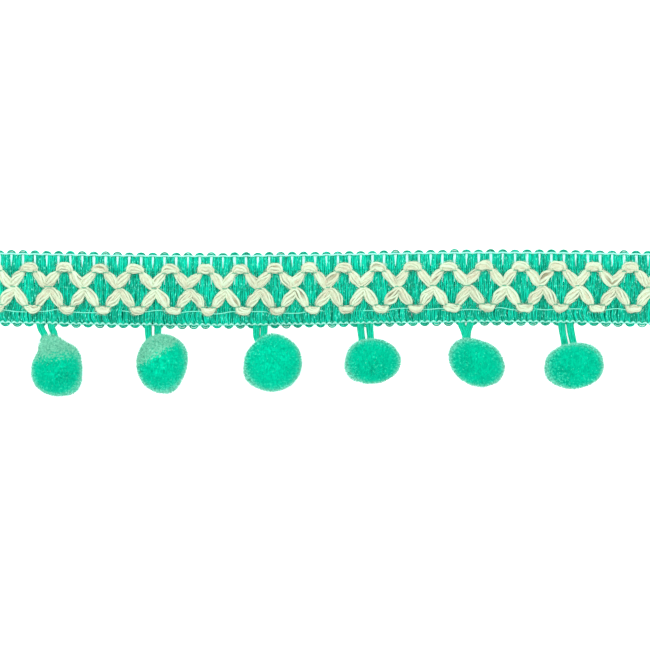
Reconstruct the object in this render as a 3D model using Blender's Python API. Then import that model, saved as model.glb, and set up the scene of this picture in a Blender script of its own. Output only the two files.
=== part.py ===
"""Pompom fringe trim: a cut length of woven braid with pompoms, lying face up on a flat surface.

The trim runs along X. Its heading, the braid that is sewn down, lies flat with its back on z = 0 and
its upper edge towards +Y. Six cut pompoms hang on cord loops from the lower edge, towards -Y, and lie
on the same surface. All sizes are in metres, worked out from the driving dimensions below.
"""

import math
import random
from collections import namedtuple

import bmesh
import bpy
from mathutils import Euler, Vector

MM = 0.001
SEED = 26

# ---- Driving dimensions -------------------------------------------------------------------------

# The repeat is one peak of the cream yarn and three turns of the ground weft.
REPEAT = 8.859 * MM
REPEATS = 19
TURNS_PER_REPEAT = 3
FIRST_PEAK_X = -82.91 * MM
CUT_LENGTH = REPEAT * REPEATS
TURN_PITCH = REPEAT / TURNS_PER_REPEAT

# The weft bunches a little on one stretch, and the band lies in a slight sway.
BUNCH = 1.40 * MM
BUNCH_X = 26 * MM
BUNCH_WIDTH = 37 * MM
SWAY = 0.42 * MM
SWAY_LENGTH = 150 * MM
SAG_X = -31 * MM

# Ground: the turns of the weft stand out as scallops along both edges.
UPPER_EDGE = 9.45 * MM
UPPER_SCALLOP = 0.85 * MM
LOWER_EDGE = -9.70 * MM
LOWER_SCALLOP = 0.70 * MM
COLUMNS_PER_TURN = 4
UPPER_RIM_HEIGHT = 0.95 * MM
LOWER_RIM_HEIGHT = 0.85 * MM

# Lines along the ground between its two rims: place, height of the strands, depth of the gap under
# each upper turn, where the strands part.
GroundLine = namedtuple("GroundLine", "y crest gap")
GROUND_LINES = (
    GroundLine(y=8.00 * MM, crest=1.40 * MM, gap=0.60 * MM),
    GroundLine(y=4.60 * MM, crest=1.45 * MM, gap=0.60 * MM),
    GroundLine(y=0.40 * MM, crest=1.45 * MM, gap=0.35 * MM),
    GroundLine(y=-4.40 * MM, crest=1.40 * MM, gap=0.15 * MM),
    GroundLine(y=-7.90 * MM, crest=1.25 * MM, gap=0.20 * MM),
)
LEG_GROOVE = 0.25 * MM
GROUND_TOP = max(line.crest for line in GROUND_LINES)

# Pieces that lie on one another keep this much room.
CLEARANCE = 0.30 * MM

# Cream yarn: one peak of the upper yarn, as fractions of the repeat from the middle of its bar. It is
# drawn in where a binding thread crosses it and full between. The lower yarn is its mirror image.
YarnSection = namedtuple("YarnSection", "along y half_height thickness")
BOUND_THICKNESS = 1.05 * MM
YARN_SECTIONS = (
    YarnSection(along=0.00, y=5.35 * MM, half_height=1.10 * MM, thickness=1.70 * MM),
    YarnSection(along=0.16, y=5.15 * MM, half_height=1.05 * MM, thickness=1.55 * MM),
    YarnSection(along=0.24, y=4.20 * MM, half_height=0.95 * MM, thickness=BOUND_THICKNESS),
    YarnSection(along=0.32, y=3.30 * MM, half_height=1.75 * MM, thickness=1.60 * MM),
    YarnSection(along=0.41, y=2.05 * MM, half_height=1.60 * MM, thickness=1.55 * MM),
    YarnSection(along=0.50, y=1.15 * MM, half_height=0.70 * MM, thickness=BOUND_THICKNESS),
)
YARN_CORNERS = 6
YARN_MIRROR_Y = 0.25 * MM
LOWER_YARN_SHIFT = 0.75 * MM
YARN_UNEVEN = 0.16 * MM

# Edge threads: thin chains that hold the turns at both edges.
EdgeThread = namedtuple("EdgeThread", "name y wave radius")
EDGE_THREADS = (
    EdgeThread(name="edge_thread_upper", y=8.35 * MM, wave=0.10 * MM, radius=0.22 * MM),
    EdgeThread(name="edge_thread_lower", y=-8.60 * MM, wave=0.20 * MM, radius=0.28 * MM),
)
THREAD_CORNERS = 4
THREAD_POINTS_PER_TURN = 2

# Hanging loops: one cord each, out of the lower edge and back, its bend against the pompom.
LOOP_RADIUS = 0.82 * MM
LOOP_LIFT = 0.12 * MM
LOOP_ROOT_Y = LOWER_EDGE - CLEARANCE - SWAY
LOOP_BEND_STEPS = 6

# Pompoms: 48 locks each, round a firm middle. The swell is the side where the pile is drawn out
# (above 0) or pressed in (below 0); its bearing is an angle from +X towards +Y.
POMPOM_SEGMENTS = 8
POMPOM_RINGS = 6
CORE_SHARE = 0.88
LOCK_INSET = 0.07
LOCK_UNEVEN = 0.035
FLAT_SPOT_DEPTH = 0.35 * MM
SWELL_DIP = -0.35

Pompom = namedtuple(
    "Pompom",
    "x y half_width half_height half_depth tilt swell bearing spread loop_x loop_half_gap loop_lean loop_end_y",
)
POMPOMS = (
    Pompom(
        x=-66.90 * MM, y=-20.55 * MM, half_width=6.40 * MM, half_height=6.45 * MM, half_depth=5.90 * MM,
        tilt=0, swell=0.48, bearing=102, spread=36,
        loop_x=-69.80 * MM, loop_half_gap=1.20 * MM, loop_lean=1.0 * MM, loop_end_y=-13.00 * MM,
    ),
    Pompom(
        x=-40.80 * MM, y=-18.75 * MM, half_width=6.40 * MM, half_height=7.35 * MM, half_depth=5.95 * MM,
        tilt=-6, swell=0.0, bearing=90, spread=40,
        loop_x=-42.95 * MM, loop_half_gap=1.20 * MM, loop_lean=0.0 * MM, loop_end_y=-12.90 * MM,
    ),
    Pompom(
        x=-13.00 * MM, y=-18.60 * MM, half_width=7.35 * MM, half_height=7.35 * MM, half_depth=6.10 * MM,
        tilt=0, swell=-0.13, bearing=135, spread=28,
        loop_x=-16.00 * MM, loop_half_gap=1.20 * MM, loop_lean=0.5 * MM, loop_end_y=-12.95 * MM,
    ),
    Pompom(
        x=12.00 * MM, y=-18.35 * MM, half_width=6.95 * MM, half_height=5.75 * MM, half_depth=5.60 * MM,
        tilt=0, swell=0.0, bearing=90, spread=40,
        loop_x=10.05 * MM, loop_half_gap=1.20 * MM, loop_lean=0.2 * MM, loop_end_y=-13.70 * MM,
    ),
    Pompom(
        x=37.80 * MM, y=-18.75 * MM, half_width=7.25 * MM, half_height=5.70 * MM, half_depth=5.60 * MM,
        tilt=-25, swell=0.0, bearing=90, spread=40,
        loop_x=35.30 * MM, loop_half_gap=1.15 * MM, loop_lean=0.1 * MM, loop_end_y=-13.60 * MM,
    ),
    Pompom(
        x=62.25 * MM, y=-19.55 * MM, half_width=7.30 * MM, half_height=5.80 * MM, half_depth=5.60 * MM,
        tilt=0, swell=-0.07, bearing=-50, spread=35,
        loop_x=60.45 * MM, loop_half_gap=1.20 * MM, loop_lean=0.4 * MM, loop_end_y=-14.60 * MM,
    ),
)

# Dyes and finish of each fibre: colour as sRGB hex, roughness.
Fibre = namedtuple("Fibre", "name colour roughness")
GROUND_FIBRE = Fibre(name="viscose_weft", colour="1BBD9A", roughness=0.45)
CREAM_FIBRE = Fibre(name="cream_wool_yarn", colour="E1F0CE", roughness=0.90)
THREAD_FIBRE = Fibre(name="pale_chain_thread", colour="9CEFDC", roughness=0.60)
CORD_FIBRE = Fibre(name="viscose_cord", colour="12C49C", roughness=0.50)
POMPOM_FIBRE = Fibre(name="cut_pile", colour="05D2A7", roughness=0.85)


# ---- Helpers ------------------------------------------------------------------------------------

def bunched(x):
    """The place along the band of a point that would be at x if the repeats were even."""
    return x - BUNCH * math.exp(-((x - BUNCH_X) / BUNCH_WIDTH) ** 2)


def sway(x):
    """How far the band lies above or below its straight line at x."""
    return -SWAY * math.cos(2 * math.pi * (x - SAG_X) / SWAY_LENGTH)


def turn_phase(x):
    """0 in the middle of a group of strands and pi in the gap beside it, for an even place x."""
    return 2 * math.pi * (x - FIRST_PEAK_X) / TURN_PITCH


def linear_colour(hex_colour):
    """Turn an sRGB hex colour into the linear RGBA that a shader takes."""
    channels = [int(hex_colour[k:k + 2], 16) / 255 for k in (0, 2, 4)]
    linear = [c / 12.92 if c <= 0.04045 else ((c + 0.055) / 1.055) ** 2.4 for c in channels]
    return (*linear, 1.0)


def make_material(fibre):
    material = bpy.data.materials.new(fibre.name)
    material.use_nodes = True
    shader = material.node_tree.nodes["Principled BSDF"]
    shader.inputs["Base Color"].default_value = linear_colour(fibre.colour)
    shader.inputs["Roughness"].default_value = fibre.roughness
    shader.inputs["Metallic"].default_value = 0.0
    return material


def add_object(name, data, material):
    data.materials.append(material)
    piece = bpy.data.objects.new(name, data)
    bpy.context.scene.collection.objects.link(piece)
    return piece


def finish_mesh(name, shape, material):
    """Turn the faces outwards, shade round parts smooth and put the mesh in the scene."""
    bmesh.ops.recalc_face_normals(shape, faces=shape.faces)
    mesh = bpy.data.meshes.new(name)
    shape.to_mesh(mesh)
    shape.free()
    mesh.shade_smooth()
    mesh.set_sharp_from_angle(angle=math.radians(50))
    return add_object(name, mesh, material)


def tube_through(name, sections, material):
    """Skin closed sections, given from one end to the other, and cap both cut ends."""
    shape = bmesh.new()
    rings = []
    for section in sections:
        corners = [shape.verts.new(corner) for corner in section]
        rings.append([shape.edges.new(pair) for pair in zip(corners, corners[1:] + corners[:1])])
    for ring, following in zip(rings, rings[1:]):
        bmesh.ops.bridge_loops(shape, edges=ring + following)
    bmesh.ops.holes_fill(shape, edges=rings[0] + rings[-1], sides=0)
    return finish_mesh(name, shape, material)


# ---- Ground braid -------------------------------------------------------------------------------

def ground_point(column, line):
    """One point of the ribbed face; lines run from the lower rim, 0, to the upper rim."""
    even_x = -CUT_LENGTH / 2 + column * TURN_PITCH / COLUMNS_PER_TURN
    phase = turn_phase(even_x)
    in_gap = (1 - math.cos(phase)) / 2
    x = bunched(even_x)
    if line == 0:
        y = LOWER_EDGE + LOWER_SCALLOP * in_gap
        z = LOWER_RIM_HEIGHT
    elif line == len(GROUND_LINES) + 1:
        y = UPPER_EDGE - UPPER_SCALLOP * (1 - in_gap)
        z = UPPER_RIM_HEIGHT
    else:
        row = GROUND_LINES[len(GROUND_LINES) - line]
        groove = LEG_GROOVE * (1 + math.cos(2 * phase)) / 2 * (1 - in_gap)
        y = row.y
        z = row.crest - row.gap * in_gap - groove
    return Vector((x, y + sway(x), z))


def make_ground(material):
    """The woven ground: a flat sheet with a rib for each leg of the weft and a scalloped rim."""
    columns = round(CUT_LENGTH / TURN_PITCH) * COLUMNS_PER_TURN
    lines = len(GROUND_LINES) + 1
    shape = bmesh.new()
    bmesh.ops.create_grid(shape, x_segments=columns, y_segments=lines, size=1.0)
    for vertex in shape.verts:
        column = round((vertex.co.x + 1) / 2 * columns)
        line = round((vertex.co.y + 1) / 2 * lines)
        vertex.co = ground_point(column, line)
    rim = [edge for edge in shape.edges if edge.is_boundary]
    walls = bmesh.ops.extrude_edge_only(shape, edges=rim)["geom"]
    for corner in walls:
        if isinstance(corner, bmesh.types.BMVert):
            corner.co.z = 0
    back_edges = [edge for edge in shape.edges if edge.is_boundary]
    bmesh.ops.holes_fill(shape, edges=back_edges, sides=0)
    return finish_mesh("ground_braid", shape, material)


# ---- Cream yarns --------------------------------------------------------------------------------

def yarn_stations():
    """Every section of the upper yarn as (even x, row), out and back within each repeat."""
    there = [(row.along, row) for row in YARN_SECTIONS]
    back = [(1 - row.along, row) for row in reversed(YARN_SECTIONS[1:-1])]
    for peak in range(-1, REPEATS + 1):
        for along, row in there + back:
            yield FIRST_PEAK_X + (peak + along) * REPEAT, row


def make_yarn(name, side, shift, seed, material):
    """One zigzag yarn on the ground; side is 1 for the upper yarn and -1 for the lower."""
    dice = random.Random(seed)
    seat = GROUND_TOP + CLEARANCE
    sections = []
    for even_x, row in yarn_stations():
        lift = dice.uniform(-YARN_UNEVEN, YARN_UNEVEN)
        if row.thickness == BOUND_THICKNESS:
            lift = 0
        even_x += shift
        if abs(even_x) > CUT_LENGTH / 2:
            continue
        x = bunched(even_x)
        y = YARN_MIRROR_Y + side * (row.y - YARN_MIRROR_Y + lift) + sway(x)
        section = []
        for corner in range(YARN_CORNERS):
            angle = 2 * math.pi * corner / YARN_CORNERS
            height = (1 + math.sin(angle) / math.sin(math.pi / 3)) / 2
            section.append((x, y + row.half_height * math.cos(angle), seat + row.thickness * height))
        sections.append(section)
    return tube_through(name, sections, material)


# ---- Edge threads -------------------------------------------------------------------------------

def make_edge_thread(thread, material):
    """A thin chain along one edge, waving in and out between the turns."""
    points = round(CUT_LENGTH / TURN_PITCH) * THREAD_POINTS_PER_TURN
    z = GROUND_TOP + CLEARANCE + thread.radius
    sections = []
    for point in range(points + 1):
        even_x = -CUT_LENGTH / 2 + point * TURN_PITCH / THREAD_POINTS_PER_TURN
        x = bunched(even_x)
        y = thread.y + thread.wave * math.cos(turn_phase(even_x)) + sway(x)
        section = []
        for corner in range(THREAD_CORNERS):
            angle = 2 * math.pi * corner / THREAD_CORNERS
            offset_y = thread.radius * math.cos(angle)
            offset_z = thread.radius * math.sin(angle)
            section.append((x, y + offset_y, z + offset_z))
        sections.append(section)
    return tube_through(thread.name, sections, material)


# ---- Hanging loops ------------------------------------------------------------------------------

def loop_route(pompom):
    """Out of the lower edge, round the bend against the pompom, and back to the edge."""
    bend_y = pompom.loop_end_y + LOOP_RADIUS + pompom.loop_half_gap
    bend_x = pompom.loop_x + pompom.loop_lean
    z = LOOP_RADIUS + LOOP_LIFT
    route = [Vector((pompom.loop_x - pompom.loop_half_gap, LOOP_ROOT_Y, z))]
    for step in range(LOOP_BEND_STEPS + 1):
        angle = math.pi + math.pi * step / LOOP_BEND_STEPS
        offset = Vector((math.cos(angle), math.sin(angle), 0)) * pompom.loop_half_gap
        route.append(Vector((bend_x, bend_y, z)) + offset)
    route.append(Vector((pompom.loop_x + pompom.loop_half_gap, LOOP_ROOT_Y, z)))
    return route


def make_loop(number, pompom, material):
    name = f"hanging_loop_{number}"
    cord = bpy.data.curves.new(name, "CURVE")
    cord.dimensions = "3D"
    cord.bevel_depth = LOOP_RADIUS
    cord.bevel_resolution = 1
    cord.use_fill_caps = True
    route = loop_route(pompom)
    spline = cord.splines.new("POLY")
    spline.points.add(len(route) - 1)
    for point, place in zip(spline.points, route):
        point.co = (*place, 1.0)
    return add_object(name, cord, material)


# ---- Pompoms ------------------------------------------------------------------------------------

def pompom_point(pompom, direction, reach):
    """The place of a point that lies in the given direction, at a share of the full radius."""
    bearing = math.radians(pompom.bearing)
    towards = Vector((math.cos(bearing), math.sin(bearing), SWELL_DIP)).normalized()
    away = math.degrees(direction.angle(towards))
    swollen = 1 + pompom.swell * math.exp(-(away / pompom.spread) ** 2)
    place = direction * reach * swollen
    place = Vector((
        place.x * pompom.half_width,
        place.y * pompom.half_height,
        place.z * pompom.half_depth,
    ))
    place.rotate(Euler((0, 0, math.radians(pompom.tilt))))
    place += Vector((pompom.x, pompom.y, pompom.half_depth - FLAT_SPOT_DEPTH))
    place.z = max(place.z, 0)
    return place


def make_pompom(number, pompom, material):
    """A ball of cut pile: one four-sided lock on each face of a sphere, with its poles along Y."""
    dice = random.Random(SEED + number)
    shape = bmesh.new()
    bmesh.ops.create_uvsphere(
        shape, u_segments=POMPOM_SEGMENTS, v_segments=POMPOM_RINGS, radius=1.0)
    bmesh.ops.rotate(
        shape, verts=shape.verts, cent=(0, 0, 0), matrix=Euler((math.pi / 2, 0, 0)).to_matrix())
    locks = shape.faces[:]
    bmesh.ops.inset_individual(shape, faces=locks, thickness=LOCK_INSET)
    reaches = {vertex: CORE_SHARE for vertex in shape.verts}
    for lock in locks:
        length = 1 + dice.uniform(-LOCK_UNEVEN, LOCK_UNEVEN)
        reaches.update((vertex, length) for vertex in lock.verts)
    for vertex, reach in reaches.items():
        vertex.co = pompom_point(pompom, vertex.co.normalized(), reach)
    return finish_mesh(f"pompom_{number}", shape, material)


# ---- Assembly -----------------------------------------------------------------------------------

def clear_scene():
    for leftover in list(bpy.data.objects):
        bpy.data.objects.remove(leftover, do_unlink=True)


def main():
    clear_scene()
    cream = make_material(CREAM_FIBRE)
    thread_material = make_material(THREAD_FIBRE)
    cord_material = make_material(CORD_FIBRE)
    pile = make_material(POMPOM_FIBRE)
    make_ground(make_material(GROUND_FIBRE))
    make_yarn("cream_yarn_upper", 1, 0, SEED, cream)
    make_yarn("cream_yarn_lower", -1, LOWER_YARN_SHIFT, SEED + 1, cream)
    for thread in EDGE_THREADS:
        make_edge_thread(thread, thread_material)
    for number, pompom in enumerate(POMPOMS, start=1):
        make_loop(number, pompom, cord_material)
        make_pompom(number, pompom, pile)


main()
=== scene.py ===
"""Looks of the pompom fringe trim: its weft, yarns, threads, cord loops and cut-pile pompoms.

The trim lies face up, along X, with its upper edge towards +Y and its pompoms towards -Y. Lengths are
in metres. A piece stands for the plain solid of the frame in its place, where the frame has one.
"""

import math
from collections import namedtuple

import bpy
import numpy as np
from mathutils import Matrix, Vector


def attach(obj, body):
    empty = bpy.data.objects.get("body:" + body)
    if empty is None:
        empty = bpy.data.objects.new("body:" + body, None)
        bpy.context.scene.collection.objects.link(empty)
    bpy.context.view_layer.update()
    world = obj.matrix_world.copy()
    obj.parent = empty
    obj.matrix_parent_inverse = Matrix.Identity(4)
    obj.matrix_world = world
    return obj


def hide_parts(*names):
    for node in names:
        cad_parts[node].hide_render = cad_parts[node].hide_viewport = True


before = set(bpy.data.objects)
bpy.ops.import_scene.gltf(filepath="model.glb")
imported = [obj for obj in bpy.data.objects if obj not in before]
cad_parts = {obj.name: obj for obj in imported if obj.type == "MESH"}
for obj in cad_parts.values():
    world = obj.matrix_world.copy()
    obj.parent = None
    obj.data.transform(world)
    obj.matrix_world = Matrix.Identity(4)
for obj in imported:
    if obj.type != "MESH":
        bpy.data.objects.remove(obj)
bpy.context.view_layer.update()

bl_info = {
    "name": "Pompom fringe trim",
    "version": (1, 0, 0),
    "blender": (4, 5, 0),
    "location": "3D View > Sidebar > Trim",
    "description": "Builds the strands, yarns, threads and pompoms of a fringe trim",
    "category": "Add Mesh",
}

MM = 0.001
SEED = 26
ANY_PHASE = (0, 6.28)

# ---- Sizes and places ----

REPEAT = 8.859 * MM
REPEATS = 19
TURNS_PER_REPEAT = 3
TURN_PITCH = REPEAT / TURNS_PER_REPEAT
TURNS = REPEATS * TURNS_PER_REPEAT
FIRST_PEAK_X = -82.91 * MM
CUT_LENGTH = REPEAT * REPEATS
# Round BUNCH_X the repeats lie BUNCH to the left of their even places, and at SAG_X the band sags by SWAY.
BUNCH = 1.40 * MM
BUNCH_X = 26 * MM
BUNCH_WIDTH = 37 * MM
SWAY = 0.42 * MM
SWAY_LENGTH = 150 * MM
SAG_X = -31 * MM

# Lines along the band where threads cross it.
UPPER_EDGE_Y = 8.40 * MM
BINDER_ROWS_Y = (4.00 * MM, 0.25 * MM, -4.40 * MM)
WARP_ROWS_Y = (4.55 * MM, 3.45 * MM, 0.80 * MM, -0.30 * MM, -3.85 * MM)
LOWER_EDGE_Y = -8.60 * MM
THREAD_ROWS_Y = (UPPER_EDGE_Y, *BINDER_ROWS_Y, LOWER_EDGE_Y)

# Heights above the surface on which the trim lies, and how deep and wide the weft dips under a thread.
WEFT_DIP = 0.20 * MM
WEFT_DIP_WIDTH = 0.60 * MM
THREAD_Z = 1.14 * MM
BINDER_Z = 0.62 * MM
OVER_YARN_Z = 2.05 * MM
YARN_SEAT_Z = 1.12 * MM
BACK_THREAD_Z = 0.20 * MM
CHAIN_OVER_CORD = 0.60 * MM

# Weft: a layer for the face and one for the back. A strand reaches to each side lap times the room it
# has, and lower_draw is how far above the lower edge it begins to draw in to its turn.
Layer = namedtuple(
    "Layer",
    "strands z half_height lap upper_reach lower_reach lower_draw leg_steps turn_steps sides seed",
)
FACE = Layer(
    strands=3, z=0.80 * MM, half_height=0.26 * MM, lap=0.56, upper_reach=0.98 * MM, lower_reach=1.16 * MM,
    lower_draw=1.50 * MM, leg_steps=27, turn_steps=8, sides=5, seed=0,
)
BACK = Layer(
    strands=2, z=0.41 * MM, half_height=0.17 * MM, lap=0.72, upper_reach=0.60 * MM, lower_reach=0.60 * MM,
    lower_draw=0.35 * MM, leg_steps=18, turn_steps=5, sides=4, seed=20,
)
# The legs of a turn stand apart from the band's middle up to its upper edge, which leaves slits. Half a
# slit's width at places from the lower edge to the upper, beside a cream bar and midway between two.
SLIT_Y = np.array([-9.0, -0.2, 0.8, 3.2, 5.0, 8.05]) * MM
SLIT_BESIDE_BAR = np.array([-0.01, -0.01, 0.04, 0.13, 0.21, 0.28]) * MM
NOTCH_Y = np.array([-9.0, 2.8, 3.5, 4.2, 5.6, 6.8, 8.05]) * MM
NOTCH_BETWEEN_BARS = np.array([-0.01, -0.01, 0.09, 0.00, 0.05, 0.14, 0.24]) * MM
LOWER_STRIP_Y = -4.6 * MM
UPPER_TURN_Y = 8.33 * MM
LOWER_TURN_Y = -8.70 * MM
UPPER_TURN_DRAW = 0.80
LOWER_TURN_DRAW = 0.91
UPPER_DRAW_LENGTH = 0.30 * MM
TURN_INNER_REACH = 0.10 * MM
TURN_HALF_WIDTH = 0.19 * MM
TURN_DROP = 0.08 * MM
UPPER_TURN_REACHES = (0.85, 1.12)
LOWER_TURN_REACHES = (0.90, 1.10)
# The turns at both edges take a low tone: painted shade where the strands curl over the edge.
UPPER_TURN_SHADE = 0.25
LOWER_TURN_SHADE = 0.30
# Every third slit lies midway between two cream bars, and is short.
NOTCH_TURN = 2
NOTCH_FOOT_Y = 5.3 * MM
SLIT_FOOT_Y = 1.2 * MM
# Pale strands across each slit stand in for the lit floor that shows through it: painted light.
SLIT_LIGHTS_ACROSS = (-1.0, -0.5, 0.0, 0.5, 1.0)
SLIT_LIGHT_RUNS = (0.7 * MM, 1.4 * MM)
SLIT_LIGHT_SWING = 0.04 * MM
SLIT_LIGHT_HALF_WIDTH = 0.04 * MM
SLIT_LIGHT_HALF_HEIGHT = 0.06 * MM
# A leg's unevenness from side to side, up and down, in width and in tone, where 0 is deep and 1 bright.
LEG_WANDER = (0.03 * MM, 0.10 * MM)
LEG_WANDER_RUN = 0.9 * MM
LEG_RIPPLE = 0.07 * MM
LEG_RIPPLE_RUN = 0.55 * MM
LEG_LIFT = 0.06 * MM
LEG_FULLNESS = (0.92, 1.10)
LEG_TONES = (0.26, 0.96)
LOWER_STRIP_SHADE = 0.24
# In the lower strip the legs bow to the left, by more and by less over a run of turns.
LEAN = 0.40 * MM
LEAN_SWING = 0.42 * MM
LEAN_TURNS = 8.3
LEAN_START = 0.9
LEAN_SPREAD = 0.13 * MM

# Cream yarns: half a peak of each, from the middle of its bar to the point between two peaks. Threads
# bind a yarn down at the ends of each bar and at each point.
YarnPoint = namedtuple("YarnPoint", "x y width height bound", defaults=(False,))


def yarn_points(rows):
    """Points of a yarn from rows of x, y, width and height in mm, each with True where it is bound."""
    return [YarnPoint(*(value * MM for value in row[:4]), *row[4:]) for row in rows]


UPPER_PEAK = yarn_points((
    (0.00, 5.19, 2.55, 1.38),
    (0.92, 5.08, 2.30, 1.30),
    (1.48, 4.70, 1.60, 1.15),
    (1.56, 4.12, 1.25, 0.85, True),
    (2.05, 3.48, 2.00, 1.30),
    (2.88, 2.55, 2.55, 1.65),
    (3.72, 1.52, 2.55, 1.50),
    (4.43, 0.80, 2.10, 1.00, True),
))
LOWER_PEAK = yarn_points((
    (0.00, -5.42, 2.10, 1.32),
    (0.88, -5.30, 1.90, 1.25),
    (1.40, -4.92, 1.36, 1.05),
    (1.42, -4.42, 1.25, 0.85, True),
    (1.80, -3.72, 2.10, 1.40),
    (2.58, -2.60, 2.70, 1.70),
    (3.55, -1.35, 2.45, 1.50),
    (4.43, -0.50, 1.90, 1.00, True),
))
LOWER_YARN_SHIFT = 0.75 * MM
YARN_PLIES = 8
YARN_STEPS = 4
# How far a yarn strays from its even course and fullness, and the share of that where it is bound.
YARN_STRAY = 0.15 * MM
YARN_PLUMPNESS = 0.09
BOUND_LOOSENESS = 0.4
FUZZ_FIBRES = 2100
PLY_TWIST = 0.22 / MM
# A yarn's plies part only where it is wider than NARROW_YARN, and are full where it is about FULL_YARN.
NARROW_YARN = 1.2 * MM
FULL_YARN = 2.1 * MM
OPENING = 0.20
OPENING_RUNS = (2.1 * MM, 3.4 * MM)
PLY_SIZES = (0.80, 1.15)
PLY_DRIFT = 0.5
PLY_DRIFT_RUN = 2.3 * MM
PLY_LOOSENESS = 0.09
PLY_LOOSENESS_RUN = 1.7 * MM
# The soft core's size, and its tone, which paints it dark as shadow between the plies, the more where they
# part.
CORE_WIDTH = 0.31
CORE_HEIGHT = 0.28
CORE_TONE = 1.2
CORE_DARKENING = 2.0
# Most of the fuzz stands at a yarn's sides, within this angle of the level.
SIDE_FUZZ_SHARE = 0.7
SIDE_FUZZ_ANGLE = 0.5
FUZZ_ROOT = 0.44
FUZZ_REACHES = (0.5 * MM, 1.3 * MM)
FUZZ_LIFTS = (0.14 * MM, 0.44 * MM)
FUZZ_CURLS = (1.6, 2.9)
FUZZ_RADIUS = 0.022 * MM
FUZZ_TONE = 0.2

# Threads. The chain and the binding threads are uneven over UNEVEN_RUN, and a binding thread is up over
# a yarn for BINDER_REACH to each side.
UNEVEN_RUN = 1.9 * MM
EDGE_THREAD_DRAW = 0.08 * MM
EDGE_THREAD_SINK = 0.05 * MM
CHAIN_FOOT_DROP = 0.36 * MM
CHAIN_FOOT_SINK = 0.60 * MM
CHAIN_DEPTH = 0.42 * MM
CHAIN_RISE = 0.68 * MM
CHAIN_LINK_LEAN = 0.12 * MM
BINDER_REACH = 0.95 * MM
BINDER_DRIFT = 0.06 * MM
WARP_DIP = 0.22 * MM
WARP_FINENESS = 0.8
WARP_TONE = 0.4
FLOAT_Y = -5.60 * MM
FLOAT_Z = THREAD_Z + 0.03 * MM
FLOAT_HIDDEN_Z = THREAD_Z - 0.42 * MM
FLOAT_HIDDEN_SHARE = 0.25
FLOAT_HALF_WIDTH = 0.13 * MM
FLOAT_HALF_HEIGHT = 0.12 * MM

# Hanging cords: CORD_REACH is as far to each side as a cord lifts the chain.
CORD_STRANDS = 6
CORD_SPREAD = 0.58 * MM
CORD_RISE = 0.24 * MM
CORD_TWIST = 0.12 / MM
CORD_REACH = 1.05 * MM

# Where a pompom's pile is drawn out (size above 0) or pressed in: by what share of its radius, at what
# bearing in degrees from +X, and over how many degrees.
Swell = namedtuple("Swell", "size bearing spread")

# Where a leg of a hanging cord leaves the band, where it bends and where it goes into the pile, in mm.
Leg = namedtuple("Leg", "top_x bend_x bend_y end_x end_y")

# Pompoms, in mm and degrees: centre, half the width, height and depth, tilt and swells, then the cord's
# two legs, and how far from the centre, and on which side, the pile has faded. A parting is a place
# where the pile has opened, painted darker as shade: its x and y from the centre and its reach.
Pompom = namedtuple(
    "Pompom",
    "centre half_sizes tilt swells left_leg right_leg fade_start fade_bearing fade_span parting",
    defaults=(None, 0, 0, None),
)
POMPOMS = (
    Pompom(
        centre=(-66.90, -20.55), half_sizes=(6.40, 6.45, 5.90), tilt=0,
        swells=(
            Swell(0.48, 103, 24), Swell(0.14, 119, 11), Swell(0.20, 52, 28), Swell(0.15, 314, 28),
            Swell(0.06, 212, 25),
        ),
        left_leg=Leg(-71.25, -70.85, -10.60, -70.10, -11.90),
        right_leg=Leg(-68.50, -68.20, -10.40, -67.75, -11.40),
        fade_start=4.6, fade_bearing=97, fade_span=4.8,
        parting=(1.9, -1.6, 1.6),
    ),
    Pompom(
        centre=(-40.80, -18.75), half_sizes=(6.40, 7.35, 5.95), tilt=-6,
        swells=(
            Swell(0.11, 32, 26), Swell(0.11, 298, 28), Swell(-0.03, 200, 30),
        ),
        left_leg=Leg(-44.25, -44.20, -11.00, -44.00, -12.80),
        right_leg=Leg(-41.80, -41.85, -10.80, -41.80, -11.80),
        fade_start=3.0, fade_bearing=121, fade_span=2.4,
    ),
    Pompom(
        centre=(-13.00, -18.60), half_sizes=(7.35, 7.35, 6.10), tilt=0,
        swells=(
            Swell(-0.13, 135, 28), Swell(-0.05, 150, 18), Swell(0.14, 214, 22), Swell(-0.04, 60, 22),
        ),
        left_leg=Leg(-17.15, -17.15, -11.60, -16.50, -13.40),
        right_leg=Leg(-15.25, -15.25, -10.60, -15.35, -11.60),
    ),
    Pompom(
        centre=(12.00, -18.35), half_sizes=(6.95, 5.75, 5.60), tilt=0,
        swells=(
            Swell(0.14, 216, 27), Swell(0.07, 135, 24), Swell(-0.08, 295, 30),
        ),
        left_leg=Leg(8.85, 9.00, -11.20, 9.25, -13.20),
        right_leg=Leg(11.15, 11.30, -11.20, 11.40, -12.80),
        parting=(0.9, -2.0, 2.0),
    ),
    Pompom(
        centre=(37.80, -18.75), half_sizes=(7.25, 5.70, 5.60), tilt=-25,
        swells=(
            Swell(0.06, 70, 30), Swell(0.10, 145, 26), Swell(0.04, 180, 20), Swell(-0.04, 235, 30),
        ),
        left_leg=Leg(34.15, 34.75, -11.00, 35.15, -12.80),
        right_leg=Leg(36.30, 35.80, -11.00, 35.50, -12.80),
        parting=(-2.7, -0.3, 1.9),
    ),
    Pompom(
        centre=(62.25, -19.55), half_sizes=(7.30, 5.80, 5.60), tilt=0,
        swells=(
            Swell(0.12, 52, 30), Swell(0.11, 208, 26), Swell(0.04, 150, 20), Swell(-0.08, 292, 28),
        ),
        left_leg=Leg(59.20, 59.45, -11.60, 59.95, -14.40),
        right_leg=Leg(61.30, 61.60, -11.60, 62.10, -14.20),
        parting=(-3.4, -2.4, 2.2),
    ),
)
FLAT_SPOT_DEPTH = 0.35 * MM
# Cut ends scatter light to all sides, and from above even at the sides, as if they leaned up.
PILE_LIFT = 1.30
PILE_SCATTER = 0.50
# Fibres lean at random, and their lengths vary by clumps and one by one, as shares of the radius.
FIBRE_LEAN = 0.045
CLUMP_HEIGHT = 0.006
FIBRE_UNEVENNESS = (-0.005, 0.035)
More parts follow.
